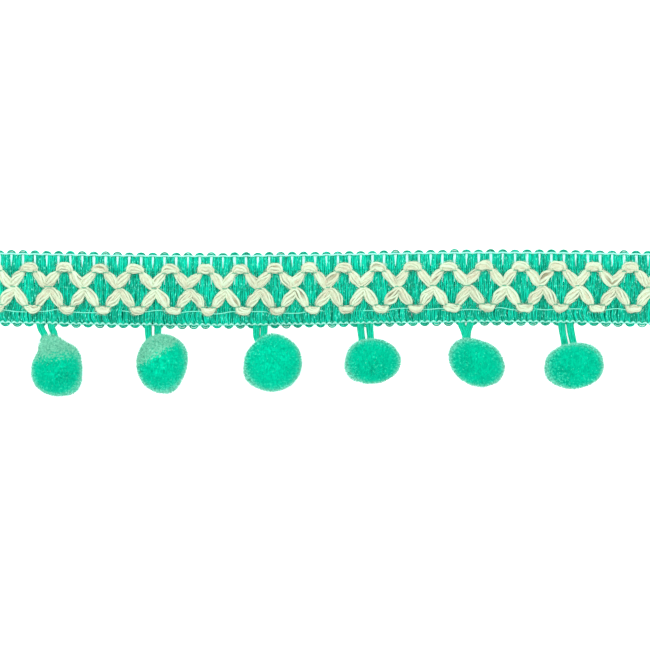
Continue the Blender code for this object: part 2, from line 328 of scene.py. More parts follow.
# One fibre in GUARD_EVERY stands longer and thinner than the rest.
GUARD_EVERY = 5
GUARD_EXTRA = (0.02, 0.05)
GUARD_FINENESS = 0.45
# The firm middle ends at this share of the pile's length inside the pompom.
CORE_DEPTH = 0.55
# Swells lie a little below a pompom's widest line.
SWELL_DIP = -0.30
LOWEST_FIBRE_Z = 0.02 * MM
LOWEST_CORE_Z = 0.05 * MM
MOST_FADED = 0.88

# Camera: straight above, so far away that the view has almost no perspective.
VIEW_WIDTH = 162.5 * MM
VIEW_CENTRE = Vector((0, -9.25 * MM, 2 * MM))
CAMERA_DISTANCE = 1.5
SENSOR_WIDTH = 36.0

# Light and floor.
SKY_STRENGTH = 1.50
KEY_LIGHT_WATTS = 8.5
KEY_LIGHT_SIZE = 0.7
FLOOR_SIZE = 6.0
FLOOR_Z = -0.02 * MM
FLOOR_GLOW = 0.5


# ---- Colour and settings ----

def linear(hex_colour):
    """Turn an sRGB hex colour into the linear RGBA that a shader takes."""
    channels = [int(hex_colour[k:k + 2], 16) / 255 for k in (0, 2, 4)]
    values = [c / 12.92 if c <= 0.04045 else ((c + 0.055) / 1.055) ** 2.4 for c in channels]
    return (*values, 1.0)


def length_setting(name, description, millimetres):
    return bpy.props.FloatProperty(
        name=name, description=description, default=millimetres * MM, min=0.0, precision=5,
        unit="LENGTH", subtype="DISTANCE",
    )


def colour_setting(name, description, hex_colour):
    return bpy.props.FloatVectorProperty(
        name=name, description=description, default=linear(hex_colour), size=4, min=0.0, max=1.0,
        subtype="COLOR",
    )


class TrimSizes(bpy.types.PropertyGroup):
    """Sizes of the strands, yarns and threads."""

    ply_radius: length_setting("Ply radius", "Radius of one ply of the cream yarn", 0.28)
    edge_radius: length_setting("Edge thread radius", "Radius of the thread on the upper edge", 0.19)
    chain_radius: length_setting("Chain radius", "Radius of the chain on the lower edge", 0.21)
    binder_radius: length_setting("Binder radius", "Radius of the threads that tie the yarns", 0.12)
    cord_strand_radius: length_setting("Cord strand radius", "Radius of a hanging cord's strand", 0.35)
    pile_length: length_setting("Pile length", "Length of a fibre that shows", 1.1)
    fibre_radius: length_setting("Fibre radius", "Radius of a fibre at its root", 0.11)
    fibres: bpy.props.IntProperty(
        name="Fibres", description="Number of fibres in each pompom", default=15500, min=100)


class TrimColours(bpy.types.PropertyGroup):
    """Dyes of the trim, and colours painted on it as light and shade."""

    weft: colour_setting("Weft", "Lit strands of the ground", "02CBA9")
    weft_deep: colour_setting("Weft, deep", "Strands that turn from the light", "048266")
    weft_gleam: colour_setting("Gleam", "Filaments that face the light", "74F4DA")
    # Painted light: the pale strands that stand in for the lit floor seen through the slits.
    slit_light: colour_setting("Filaments", "Loose filaments in the slits", "D2FFF8")
    cream: colour_setting("Cream", "Cream wool yarn", "C4DCBF")
    cream_shade: colour_setting("Cream, shade", "Duller parts of the cream yarn", "B5AB90")
    # Painted shadow: the dark olive of the core between the plies and in their openings.
    cream_core_shadow: colour_setting("Cream, hollow", "Soft core of the cream yarn, between its plies", "766F4E")
    mint: colour_setting("Mint", "Pale edge threads", "94EBD7")
    float_mint: colour_setting("Float", "The loose thread on the lower strip", "7CECD2")
    binder: colour_setting("Binder", "Thin binding threads", "58AE8C")
    cord: colour_setting("Cord", "Hanging cords", "0AB994")
    cord_deep: colour_setting("Cord, deep", "Hanging cords, turned from the light", "009673")
    pile: colour_setting("Pile", "Dyed cut pile", "02E9BB")
    pile_deep: colour_setting("Pile, deep", "Darker patches of the pile", "00AE88")
    # Brighter specks at the pile's sides, partly painted light; also the cords' painted highlights.
    pile_glow: colour_setting("Pile, glow", "Brighter specks at the pile's sides", "1CEEC6")
    pile_glint: colour_setting("Pile, glints", "Strands of the pile that catch the light", "5CF2D0")
    # Painted rim light: pale ends where the pile's side shows against the light.
    pile_rim_light: colour_setting("Pile, tips", "Pale fibre ends at the pile's sides", "98EED8")
    pile_faded: colour_setting("Pile, faded", "Pile where the dye has not taken", "8EE2C2")
    # Darker specks of the faded pile, and the darker specks within the painted rim light.
    pile_faded_deep_and_rim_shade: colour_setting("Pile, faded, deep", "Darker specks of the faded pile", "5DB896")


# ---- Places along the band ----

def bunched(x):
    """The place along the band of a point that would be at x if the repeats were even."""
    return x - BUNCH * np.exp(-((x - BUNCH_X) / BUNCH_WIDTH) ** 2)


def sway(x):
    """How far the band lies above or below its straight line at x."""
    return -SWAY * np.cos(2 * np.pi * (x - SAG_X) / SWAY_LENGTH)


def in_band(points):
    """Move points from the even, straight band to where the band lies."""
    placed = np.array(points, float)
    placed[:, 0] = bunched(placed[:, 0])
    placed[:, 1] += sway(placed[:, 0])
    return placed


def band_route(x, y, z):
    """Places in the band from their x, y and z in the even, straight band."""
    return in_band(np.column_stack(np.broadcast_arrays(x, y, z)))


def wave(run, length, dice):
    """A wave along a run, which starts anywhere in its round."""
    return np.sin(run / length + dice.uniform(*ANY_PHASE))


def smooth_path(knots, steps):
    """Read a smooth curve through rows of knots, with the given steps from each knot to the next."""
    knots = np.array(knots, float)
    padded = np.vstack((2 * knots[0] - knots[1], knots, 2 * knots[-1] - knots[-2]))
    rows = []
    for k in range(len(knots) - 1):
        before, start, end, after = padded[k:k + 4]
        for t in np.arange(steps) / steps:
            rows.append(0.5 * (
                2 * start
                + (end - before) * t
                + (2 * before - 5 * start + 4 * end - after) * t ** 2
                + (3 * start - before - 3 * end + after) * t ** 3
            ))
    rows.append(knots[-1])
    return np.array(rows)


# ---- Meshes ----

Strand = namedtuple("Strand", "points half_width half_height tone")


def set_values(mesh, name, values):
    """Give each corner of a mesh a value that its material reads."""
    mesh.attributes.new(name, "FLOAT", "POINT").data.foreach_set("value", values)


def unit_rows(rows):
    return rows / np.maximum(np.linalg.norm(rows, axis=1, keepdims=True), 1e-12)


def run_along(points):
    """How far along a path each of its points lies."""
    steps = np.linalg.norm(np.diff(points, axis=0), axis=1)
    return np.concatenate(((0,), np.cumsum(steps)))


def across_path(points):
    """The level direction across a path at each of its points."""
    along = unit_rows(np.gradient(points, axis=0))
    return unit_rows(np.cross((0, 0, 1), along))


def strand_rings(strand, sides):
    """The rings of corners of one strand, with its flatter side up."""
    along = unit_rows(np.gradient(strand.points, axis=0))
    side = unit_rows(np.cross((0, 0, 1), along))
    up = np.cross(along, side)
    angles = 2 * np.pi * np.arange(sides) / sides
    half_width = np.broadcast_to(strand.half_width, len(along))[:, None, None]
    half_height = np.broadcast_to(strand.half_height, len(along))[:, None, None]
    return (
        strand.points[:, None, :]
        + side[:, None, :] * half_width * np.cos(angles)[None, :, None]
        + up[:, None, :] * half_height * np.sin(angles)[None, :, None]
    )


def tubes(name, strands, sides, material):
    """Skin strands as closed tubes in one mesh, with UVs along each and its tone at each point.

    Each strand has its own column of the UV map, so that no two strands gleam at the same places.
    """
    corners, faces, uvs, tones = [], [], [], []
    first = 0
    for column, strand in enumerate(strands):
        rings = strand_rings(strand, sides)
        count = len(rings)
        run = run_along(strand.points)
        for ring in range(count - 1):
            base = first + ring * sides
            for k in range(sides):
                after = (k + 1) % sides
                faces.append((base + k, base + after, base + sides + after, base + sides + k))
                left, right = column + k / sides, column + (k + 1) / sides
                uvs += (left, run[ring], right, run[ring], right, run[ring + 1], left, run[ring + 1])
        faces.append(tuple(range(first + sides - 1, first - 1, -1)))
        last = first + (count - 1) * sides
        faces.append(tuple(range(last, last + sides)))
        uvs += [0.0] * (4 * sides)
        corners.append(rings.reshape(-1, 3))
        tones.append(np.repeat(np.broadcast_to(strand.tone, count), sides))
        first += count * sides
    mesh = bpy.data.meshes.new(name)
    mesh.from_pydata(np.vstack(corners), [], faces)
    mesh.uv_layers.new(name="strand").data.foreach_set("uv", np.array(uvs, np.float32))
    set_values(mesh, "tone", np.concatenate(tones))
    mesh.shade_smooth()
    mesh.materials.append(material)
    return add_piece(name, mesh)


def add_piece(name, mesh):
    piece = bpy.data.objects.new(name, mesh)
    bpy.context.scene.collection.objects.link(piece)
    return piece


def fit(piece, slot_name, *nodes):
    """Let a piece ride on the trim and stand for nodes of the frame; slot_name is not used."""
    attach(piece, "root")
    if nodes:
        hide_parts(*nodes)
    return piece


# ---- Materials ----

def add_node(tree, kind, settings=None, links=None):
    """Add a node; settings are its own values or its inputs', links join its inputs to outputs."""
    node = tree.nodes.new(kind)
    for name, value in (settings or {}).items():
        if isinstance(name, str) and hasattr(node, name):
            setattr(node, name, value)
        else:
            node.inputs[name].default_value = value
    for name, output in (links or {}).items():
        tree.links.new(output, node.inputs[name])
    return node


def new_material(name):
    """An empty material, and its tree."""
    material = bpy.data.materials.new(name)
    material.use_nodes = True
    material.node_tree.nodes.clear()
    return material, material.node_tree


def add_shader(tree, settings, links=None):
    """Close a material with one principled shader."""
    shader = add_node(tree, "ShaderNodeBsdfPrincipled", settings, links)
    add_node(tree, "ShaderNodeOutputMaterial", links={"Surface": shader.outputs["BSDF"]})


def strand_noise(tree, around, along, detail=2.0, roughness=0.5):
    """Noise on a strand: cells counted around it, and along it for each metre."""
    place = add_node(tree, "ShaderNodeUVMap", {"uv_map": "strand"})
    stretch = add_node(
        tree, "ShaderNodeMapping", {"Scale": (around, along, 1.0)}, {"Vector": place.outputs["UV"]})
    return add_node(
        tree, "ShaderNodeTexNoise", {"Scale": 1.0, "Detail": detail, "Roughness": roughness},
        {"Vector": stretch.outputs["Vector"]}).outputs["Fac"]


def ramp(tree, value, low, high, to_low=0.0, to_high=1.0):
    """Stretch the part of a value between low and high to another span, cut off at both ends."""
    return add_node(
        tree, "ShaderNodeMapRange",
        {"From Min": low, "From Max": high, "To Min": to_low, "To Max": to_high},
        {"Value": value}).outputs["Result"]


def add_values(tree, first, second):
    return add_node(
        tree, "ShaderNodeMath", {"operation": "ADD", "use_clamp": True},
        {0: first, 1: second}).outputs["Value"]


def blend(tree, share, start, end):
    """Mix two colours; each is an output or a plain colour."""
    settings, links = {"data_type": "RGBA"}, {0: share}
    for number, colour in ((6, start), (7, end)):
        (links if hasattr(colour, "node") else settings)[number] = colour
    return add_node(tree, "ShaderNodeMix", settings, links).outputs[2]


def bump_from(tree, height, strength, distance):
    return add_node(
        tree, "ShaderNodeBump", {"Strength": strength, "Distance": distance},
        {"Height": height}).outputs["Normal"]


def attribute(tree, name):
    return add_node(tree, "ShaderNodeAttribute", {"attribute_name": name}).outputs["Fac"]


def viscose(name, bright, deep, gleam):
    """Viscose: silky filaments that lie along the strand, each strand's tone painted between a shaded and a
    lit colour, with painted highlights in short dashes.
    """
    material, tree = new_material(name)
    # Bundles of filaments about 0.2 mm across and a few millimetres long; single ones are too fine to show.
    filaments = strand_noise(tree, 8.0, 0.4 / MM)
    # Each strand's own tone and its filaments mix the shaded and the lit colour: painted shade and light.
    dye_light_and_shade = add_values(tree, attribute(tree, "tone"), ramp(tree, filaments, 0.38, 0.62, -0.60, 0.60))
    # Painted highlights: dashes about 0.8 mm long where filaments turn to the light.
    dashes = ramp(tree, strand_noise(tree, 5.0, 1.25 / MM, 1.0), 0.60, 0.73, 0.0, 0.85)
    colour = blend(tree, dashes, blend(tree, dye_light_and_shade, deep, bright), gleam)
    add_shader(
        tree, {"Roughness": 0.38, "IOR": 1.53, "Specular IOR Level": 0.05},
        {"Base Color": colour, "Normal": bump_from(tree, filaments, 0.6, 0.04 * MM)})
    return material


def wool(name, clean, shade_colour, shadow_colour):
    """Undyed wool yarn: matt, with fine fibres along each ply and duller, slightly uneven patches.

    A tone of 0 to 1 makes a ply duller, and one above 1.2 marks the soft core, painted dark as shadow between
    the plies.
    """
    material, tree = new_material(name)
    # Fibres of about 0.15 mm, coarser than real ones so that they show, and patches of about 1.5 mm.
    fibres = strand_noise(tree, 12.0, 1.6 / MM, 4.0, 0.65)
    patches = strand_noise(tree, 2.0, 0.7 / MM)
    streaks = ramp(tree, fibres, 0.46, 0.70, 0.0, 0.7)
    ply_dullness = ramp(tree, attribute(tree, "tone"), 0.3, 1.0, 0.0, 0.35)
    dull = add_values(tree, streaks, add_values(tree, ramp(tree, patches, 0.5, 0.75, 0.0, 0.4), ply_dullness))
    # The core is mixed towards dark olive: painted shadow between the plies and in their openings.
    core_shadow = ramp(tree, attribute(tree, "tone"), 1.2, 1.6, 0.0, 0.8)
    add_shader(
        tree,
        {"Roughness": 0.92, "IOR": 1.55, "Specular IOR Level": 0.15, "Sheen Weight": 0.4,
         "Sheen Roughness": 0.5},
        {"Base Color": blend(tree, core_shadow, blend(tree, dull, clean, shade_colour), shadow_colour),
         "Normal": bump_from(tree, fibres, 0.8, 0.06 * MM)})
    return material


def thread(name, colour_value, lay_shade=0.72):
    """Twisted sewing thread: smooth, with the lay of its twist a little darker."""
    material, tree = new_material(name)
    place = add_node(tree, "ShaderNodeUVMap", {"uv_map": "strand"})
    # The lay shows as a darker band each 0.45 mm along the thread, painted shade in the grooves of its twist.
    lay = add_node(
        tree, "ShaderNodeMapping", {"Scale": (1.0, 1.4 / MM, 1.0)}, {"Vector": place.outputs["UV"]})
    twist = add_node(
        tree, "ShaderNodeTexWave", {"wave_type": "BANDS", "bands_direction": "DIAGONAL", "Scale": 1.0},
        {"Vector": lay.outputs["Vector"]}).outputs["Fac"]
    darker = tuple(lay_shade * channel for channel in colour_value[:3]) + (1.0,)
    add_shader(
        tree, {"Roughness": 0.5, "IOR": 1.5, "Specular IOR Level": 0.3},
        {"Base Color": blend(tree, twist, darker, colour_value),
         "Normal": bump_from(tree, twist, 0.5, 0.04 * MM)})
    return material


PILE_SHEEN_TINT = linear("8CE4D2")


def ball_noise(tree, scale, detail=2.0, stretch=1.0):
    """Noise through a pompom; stretch draws it out down the trim, from the band to the pompom's foot."""
    place = add_node(tree, "ShaderNodeTexCoord")
    drawn = add_node(
        tree, "ShaderNodeMapping", {"Scale": (1.0, 1.0 / stretch, 1.0)}, {"Vector": place.outputs["Object"]})
    return add_node(
        tree, "ShaderNodeTexNoise", {"Scale": scale, "Detail": detail},
        {"Vector": drawn.outputs["Vector"]}).outputs["Fac"]


def cut_pile(name, pile_colours):
    """Cut pile: dense matt fibres in fine grains, faded where the dye is thin, with pale ends at its sides
    painted as rim light, painted glints and a darker parting painted as shade.
    """
    material, tree = new_material(name)
    # Mottles of about 2 mm, strokes of about 0.4 by 1 mm where the pile lies calm, and specks of about
    # 0.5 mm where it is rough.
    mottles = ramp(tree, ball_noise(tree, 0.5 / MM, 3.0), 0.30, 0.70, 0.0, 0.25)
    strokes = ball_noise(tree, 2.6 / MM, 1.0, stretch=2.4)
    calm = add_values(tree, mottles, ramp(tree, strokes, 0.34, 0.66, 0.12, 0.72))
    # Painted shade: the pile is darker where it has parted.
    calm = add_values(tree, calm, ramp(tree, attribute(tree, "parted"), 0.0, 1.0, 0.0, -1.0))
    specks = ball_noise(tree, 1.9 / MM, 1.0)
    roughness = attribute(tree, "rough")
    # Where the pile is rough, specks turn deeper and brighter: partly its grain, partly painted shade and
    # light among the fibres at its sides.
    rough = ramp(tree, specks, 0.40, 0.58)
    calm_colour = blend(tree, calm, pile_colours.pile_deep, pile_colours.pile)
    dye_light_and_shade = blend(tree, roughness, calm_colour, blend(tree, rough, pile_colours.pile_deep, pile_colours.pile_glow))
    # Painted highlights: glints on the pile, more where it is rough.
    where_rough = add_values(tree, specks, ramp(tree, roughness, 0.0, 1.0, -0.10, 0.10))
    glinting = blend(tree, ramp(tree, where_rough, 0.57, 0.68, 0.0, 0.85), dye_light_and_shade, pile_colours.pile_glint)
    # Painted rim light: pale ends at the pile's sides, with darker specks where the pile is rough.
    ends = ramp(tree, attribute(tree, "tip"), 0.76, 1.04, 0.0, 0.85)
    lit = blend(tree, ends, glinting, blend(tree, rough, pile_colours.pile_faded_deep_and_rim_shade, pile_colours.pile_rim_light))
    undyed = blend(tree, ramp(tree, specks, 0.34, 0.62), pile_colours.pile_faded_deep_and_rim_shade, pile_colours.pile_faded)
    ragged = add_values(tree, attribute(tree, "fade"), ramp(tree, specks, 0.3, 0.7, -0.42, 0.42))
    pale = ramp(tree, ragged, 0.30, 0.62, 0.0, 0.92)
    add_shader(
        tree,
        {"Roughness": 0.95, "IOR": 1.5, "Specular IOR Level": 0.0, "Sheen Weight": 1.0,
         "Sheen Roughness": 0.28, "Sheen Tint": PILE_SHEEN_TINT},
        {"Base Color": blend(tree, pale, lit, undyed)})
    return material


# ---- Weft ----

def slit_x(turn):
    """Where the slit of a turn lies along the even band."""
    return FIRST_PEAK_X - TURN_PITCH / 2 + turn * TURN_PITCH


def slit_half_width(y, turn):
    """Half the width of the slit between the two legs of a turn, at each y down the band."""
    if turn % TURNS_PER_REPEAT == NOTCH_TURN:
        return np.interp(y, NOTCH_Y, NOTCH_BETWEEN_BARS)
    return np.interp(y, SLIT_Y, SLIT_BESIDE_BAR)


def weft_lie(y, layer):
    """The height of a layer's middle: it dips under each thread that crosses it."""
    dip = sum(np.exp(-((y - row) / WEFT_DIP_WIDTH) ** 2) for row in THREAD_ROWS_Y)
    return layer.z - WEFT_DIP * dip * layer.z / FACE.z


def strand_distance(y, turn, number, layer):
    """How far a strand lies from the middle of its turn's slit, at each y down the leg."""
    slit = slit_half_width(y, turn)
    spacing = (TURN_PITCH / 2 - slit) / layer.strands
    distance = slit + (number + 0.5) * spacing
    upper = np.clip((y - UPPER_TURN_Y + UPPER_DRAW_LENGTH) / UPPER_DRAW_LENGTH, 0, 1)
    distance = distance * (1 - (1 - UPPER_TURN_DRAW) * upper)
    lower = np.clip((LOWER_TURN_Y + layer.lower_draw - y) / layer.lower_draw, 0, 1)
    from_lower_turn = TURN_PITCH / 2 - distance
    distance = TURN_PITCH / 2 - from_lower_turn * (1 - (1 - LOWER_TURN_DRAW) * lower)
    return distance, spacing


def weft_leg(layer, turn, number, side, dice):
    """One leg of one strand, from the upper turn down; side is -1 left of the slit and 1 right."""
    y = np.linspace(UPPER_TURN_Y, LOWER_TURN_Y, layer.leg_steps)
    distance, spacing = strand_distance(y, turn, number, layer)
    ends = np.clip(np.sin(np.pi * (y - LOWER_TURN_Y) / (UPPER_TURN_Y - LOWER_TURN_Y)), 0, 1) ** 0.5
    wander = dice.uniform(*LEG_WANDER) * wave(y, LEG_WANDER_RUN, dice) * ends
    low_part = np.clip((LOWER_STRIP_Y - y) / (LOWER_STRIP_Y - LOWER_TURN_Y), 0, 1)
    swing = math.sin(2 * math.pi * turn / LEAN_TURNS + LEAN_START)
    lean = LEAN + LEAN_SWING * swing + dice.uniform(-LEAN_SPREAD, LEAN_SPREAD)
    x = slit_x(turn) + side * distance + wander - lean * np.sin(np.pi * low_part)
    ripple = LEG_RIPPLE * wave(y, LEG_RIPPLE_RUN, dice)
    z = weft_lie(y, layer) + (dice.uniform(-LEG_LIFT, LEG_LIFT) + ripple) * ends
    half_width = spacing * layer.lap * dice.uniform(*LEG_FULLNESS)
    tone = dice.uniform(*LEG_TONES) - LOWER_STRIP_SHADE * (low_part > 0)
    return np.column_stack((x, y, z, half_width, tone))


def weft_turn(layer, centre_x, turn_y, reach_x, reach_y, tone):
    """Half an ellipse of one strand from left to right; reach_y is below 0 at the lower edge."""
    angle = np.pi - np.pi * np.arange(1, layer.turn_steps) / layer.turn_steps
    x = centre_x + reach_x * np.cos(angle)
    y = turn_y + reach_y * np.sin(angle)
    z = weft_lie(np.full_like(x, turn_y), layer) - TURN_DROP * np.sin(angle)
    return np.column_stack((x, y, z, np.full_like(x, TURN_HALF_WIDTH), np.full_like(x, tone)))


def weft_strand(layer, number):
    """One strand of the weft all the way along the band, up and down between its two edges."""
    dice = np.random.default_rng(SEED + layer.seed + number)
    share = (number + 0.5) / layer.strands
    upper_reach = TURN_INNER_REACH + (layer.upper_reach - TURN_INNER_REACH) * share
    lower_reach = TURN_INNER_REACH + (layer.lower_reach - TURN_INNER_REACH) * (1 - share)
    parts = [weft_leg(layer, 0, number, 1, dice)]
    for turn in range(1, TURNS + 1):
        left = weft_leg(layer, turn, number, -1, dice)[::-1]
        start, end = parts[-1][-1], left[0]
        middle, half = (start[0] + end[0]) / 2, (end[0] - start[0]) / 2
        reach_y = -lower_reach * dice.uniform(*LOWER_TURN_REACHES)
        parts.append(weft_turn(layer, middle, LOWER_TURN_Y, half, reach_y, LOWER_TURN_SHADE))
        parts.append(left)
        if turn == TURNS:
            break
        right = weft_leg(layer, turn, number, 1, dice)
        start, end = left[-1], right[0]
        half = (end[0] - start[0]) / 2
        reach_y = upper_reach * dice.uniform(*UPPER_TURN_REACHES)
        parts.append(weft_turn(layer, slit_x(turn), UPPER_TURN_Y, half, reach_y, UPPER_TURN_SHADE))
        parts.append(right)
    rows = np.vstack(parts)
    return Strand(in_band(rows[:, :3]), rows[:, 3], layer.half_height, rows[:, 4])


def slit_light_strands():
    """Pale strands side by side in every slit of the weft: painted light that stands in for the lit floor
    seen through the slits.
    """
    dice = np.random.default_rng(SEED + 30)
    strands = []
    for turn in range(1, TURNS):
        foot_y = NOTCH_FOOT_Y if turn % TURNS_PER_REPEAT == NOTCH_TURN else SLIT_FOOT_Y
        for side in SLIT_LIGHTS_ACROSS:
            y = np.linspace(UPPER_TURN_Y - 0.1 * MM, foot_y, 9)
            swing = wave(y, dice.uniform(*SLIT_LIGHT_RUNS), dice)
            reach = np.maximum(slit_half_width(y, turn), 0)
            x = slit_x(turn) + reach * (side * 0.8 + 0.2 * swing)
            z = FACE.z + SLIT_LIGHT_SWING * swing + 0.9 * np.minimum(reach, FACE.half_height)
            half_width = SLIT_LIGHT_HALF_WIDTH + 0.22 * reach
            strands.append(Strand(band_route(x, y, z), half_width, SLIT_LIGHT_HALF_HEIGHT, 1.0))
    return strands


class TRIM_OT_weft(bpy.types.Operator):
    """Lay the ground's weft, face and back: strands side by side that turn back at both edges"""

    bl_idname = "trim.weft"
    bl_label = "Weft"

    def execute(self, context):
        colours = context.scene.trim_colours
        material = viscose("viscose_weft_silky", colours.weft, colours.weft_deep, colours.weft_gleam)
        for name, layer in (("weft_face", FACE), ("weft_back", BACK)):
            strands = [weft_strand(layer, number) for number in range(layer.strands)]
            weft = fit(tubes(name, strands, layer.sides, material), "viscose_weft", "ground_braid")
        # Painted light in the slits, in place of the lit floor that shows through them.
        pale = thread("painted_slit_light", colours.slit_light, lay_shade=0.95)
        fit(tubes("slit_light_fill", slit_light_strands(), 3, pale), "viscose_weft")
        return {"FINISHED"}


# ---- Cream yarns ----

def yarn_knots(peak_points, shift, dice):
    """Knots all along a yarn, each its x, y, width and height, a little out of place but where bound."""
    back = [point._replace(x=REPEAT - point.x) for point in reversed(peak_points[1:-1])]
    knots = []
    for peak in range(-1, REPEATS + 1):
        for point in peak_points + back:
            loose = BOUND_LOOSENESS if point.bound else 1.0
            nudge_x, nudge_y = dice.uniform(-YARN_STRAY, YARN_STRAY, 2) * loose
            x = FIRST_PEAK_X + shift + peak * REPEAT + point.x + nudge_x
            plump = 1 + dice.uniform(-YARN_PLUMPNESS, YARN_PLUMPNESS) * loose
            knots.append((x, point.y + nudge_y, point.width * plump, point.height))
    return knots


def yarn_course(peak_points, shift, dice):
    """A yarn's middle, its width and height, the direction across it and the run along it."""
    line = smooth_path(yarn_knots(peak_points, shift, dice), YARN_STEPS)
    line = line[np.abs(line[:, 0]) < CUT_LENGTH / 2]
    middle = in_band(np.column_stack((line[:, :2], YARN_SEAT_Z + line[:, 3] / 2)))
    return middle, line[:, 2], line[:, 3], across_path(middle), run_along(middle)


def yarn_plies(course, radius, dice):
    """The plies of a yarn round a soft core: they turn slowly round one another and part a little."""
    middle, width, height, across, run = course
    # Here and there the upper plies part to both sides, which leaves an opening onto the core, painted darker
    # there as shadow.
    waves = sum(wave(run, length, dice) for length in OPENING_RUNS)
    opening = OPENING * np.clip(waves - 0.8, 0, 1) * np.clip(width / NARROW_YARN - 1, 0, 1)
    # The core's tone paints it dark, most of all in an opening: painted shadow.
    core_tone = CORE_TONE + CORE_DARKENING * opening
    strands = [Strand(middle, width * CORE_WIDTH, height * CORE_HEIGHT * (1 - opening), core_tone)]
    for ply in range(YARN_PLIES):
        drift = PLY_DRIFT * wave(run, PLY_DRIFT_RUN, dice)
        angle = 2 * np.pi * ply / YARN_PLIES + PLY_TWIST * run + drift
        angle = angle - opening * np.sin(2 * angle)
        fullness = np.clip(width / FULL_YARN, 0.5, 1.1)
        ply_radius = radius * (0.45 + 0.55 * fullness) * dice.uniform(*PLY_SIZES)
        looseness = 1 + PLY_LOOSENESS * wave(run, PLY_LOOSENESS_RUN, dice)
        reach = np.maximum(width / 2 - ply_radius, 0) * looseness
        rise = np.maximum(height / 2 - ply_radius, 0) * looseness
        points = middle + across * (reach * np.cos(angle))[:, None]
        points[:, 2] += rise * np.sin(angle)
        strands.append(Strand(points, ply_radius, ply_radius * 0.9, dice.uniform(0, 1)))
    return strands


def yarn_fuzz(course, count, dice):
    """Loose wool fibres that stand off a yarn in shallow curves, most of them at its sides."""
    middle, width, height, across, _ = course
    places = dice.integers(2, len(middle) - 2, count)
    strands = []
    for place in places:
        if dice.random() < SIDE_FUZZ_SHARE:
            angle = dice.choice((0.0, math.pi)) + dice.uniform(-SIDE_FUZZ_ANGLE, SIDE_FUZZ_ANGLE)
        else:
            angle = dice.uniform(SIDE_FUZZ_ANGLE, math.pi - SIDE_FUZZ_ANGLE)
        outward = across[place] * math.cos(angle) + np.array((0, 0, math.sin(angle)))
        along = unit_rows((middle[place + 1] - middle[place - 1])[None])[0] * dice.choice((-1, 1))
        skin = middle[place] + across[place] * math.cos(angle) * width[place] * FUZZ_ROOT
        skin = skin + np.array((0, 0, math.sin(angle) * height[place] * FUZZ_ROOT))
        reach, lift = dice.uniform(*FUZZ_REACHES), dice.uniform(*FUZZ_LIFTS)
        steps = np.linspace(0, 1, 4)[:, None]
        points = skin + along * reach * steps + outward * lift * np.sin(steps * dice.uniform(*FUZZ_CURLS))
        strands.append(Strand(points, FUZZ_RADIUS, FUZZ_RADIUS, FUZZ_TONE))
    return strands


class TRIM_OT_cream_yarns(bpy.types.Operator):
    """Lay the two loosely plied cream yarns in zigzags that meet point to point"""

    bl_idname = "trim.cream_yarns"
    bl_label = "Cream yarns"

    def execute(self, context):
        sizes, colours = context.scene.trim_sizes, context.scene.trim_colours
        material = wool("cream_wool_plied", colours.cream, colours.cream_shade, colours.cream_core_shadow)
        rows = (("upper", UPPER_PEAK, 0, SEED + 10), ("lower", LOWER_PEAK, LOWER_YARN_SHIFT, SEED + 11))
        for row, peak_points, shift, seed in rows:
            dice = np.random.default_rng(seed)
            course = yarn_course(peak_points, shift, dice)
            plies = tubes(f"cream_plies_{row}", yarn_plies(course, sizes.ply_radius, dice), 6, material)
            fit(plies, "cream_wool_yarn", f"cream_yarn_{row}")
            fuzz = tubes(f"cream_fuzz_{row}", yarn_fuzz(course, FUZZ_FIBRES, dice), 3, material)
            fit(fuzz, "cream_wool_yarn")
        return {"FINISHED"}


# ---- Threads ----

def round_strands(routes, radius, tone=0.5):
    """Round strands of one radius and tone along the given routes."""
    return [Strand(route, radius, radius, tone) for route in routes]


def band_stations(spacing):
    """Even places along the band, from one cut end to the other."""
    return np.linspace(-CUT_LENGTH / 2, CUT_LENGTH / 2, round(CUT_LENGTH / spacing) + 1)


def upper_edge_thread():
    """A thread just inside the upper turns, drawn in a little between them."""
    x = band_stations(0.4 * MM)
    phase = 2 * np.pi * (x - FIRST_PEAK_X) / TURN_PITCH
    y = UPPER_EDGE_Y - EDGE_THREAD_DRAW * np.cos(phase)
    z = THREAD_Z - EDGE_THREAD_SINK * np.cos(phase)
    return band_route(x, y, z)


def lower_edge_chain(radius):
    """A chain of small arches along the lower edge, two to each turn of the weft, over the cords."""
    x = band_stations(0.12 * MM)
    step = np.pi * (x - FIRST_PEAK_X) / (TURN_PITCH / 2)
    arch = np.abs(np.sin(step)) * (0.86 + 0.14 * np.sin(x / UNEVEN_RUN))
    y = LOWER_EDGE_Y - CHAIN_FOOT_DROP + CHAIN_DEPTH * arch
    z = THREAD_Z - CHAIN_FOOT_SINK + CHAIN_RISE * arch ** 0.7
    route = band_route(x + CHAIN_LINK_LEAN * np.sin(2 * step), y, z)
    for pompom in POMPOMS:
        for leg in (pompom.left_leg, pompom.right_leg):
            route[:, 2] += CHAIN_OVER_CORD * np.exp(-((route[:, 0] - leg.top_x * MM) / CORD_REACH) ** 4)
    return Strand(route, radius * (0.75 + 0.55 * arch), radius * (0.75 + 0.35 * arch), 0.5)


def binder(row_y, crossings):
    """A binding thread: under the weft's face, and up over the drawn-in yarn at each crossing."""
    x = band_stations(0.25 * MM)
    z = np.full_like(x, BINDER_Z)
    for crossing in crossings:
        z = z + (OVER_YARN_Z - BINDER_Z) * np.exp(-((x - crossing) / BINDER_REACH) ** 4)
    y = row_y + BINDER_DRIFT * np.sin(x / UNEVEN_RUN)
    return band_route(x, y, z)


def warp(row_y, phase):
    """A thread along the band that goes over and under the weft's legs in turn."""
    x = band_stations(0.24 * MM)
    over = np.sin(2 * np.pi * (x - FIRST_PEAK_X) / (TURN_PITCH / 3) + phase)
    z = FACE.z + FACE.half_height - WARP_DIP + WARP_DIP * over
    return band_route(x, row_y, z)


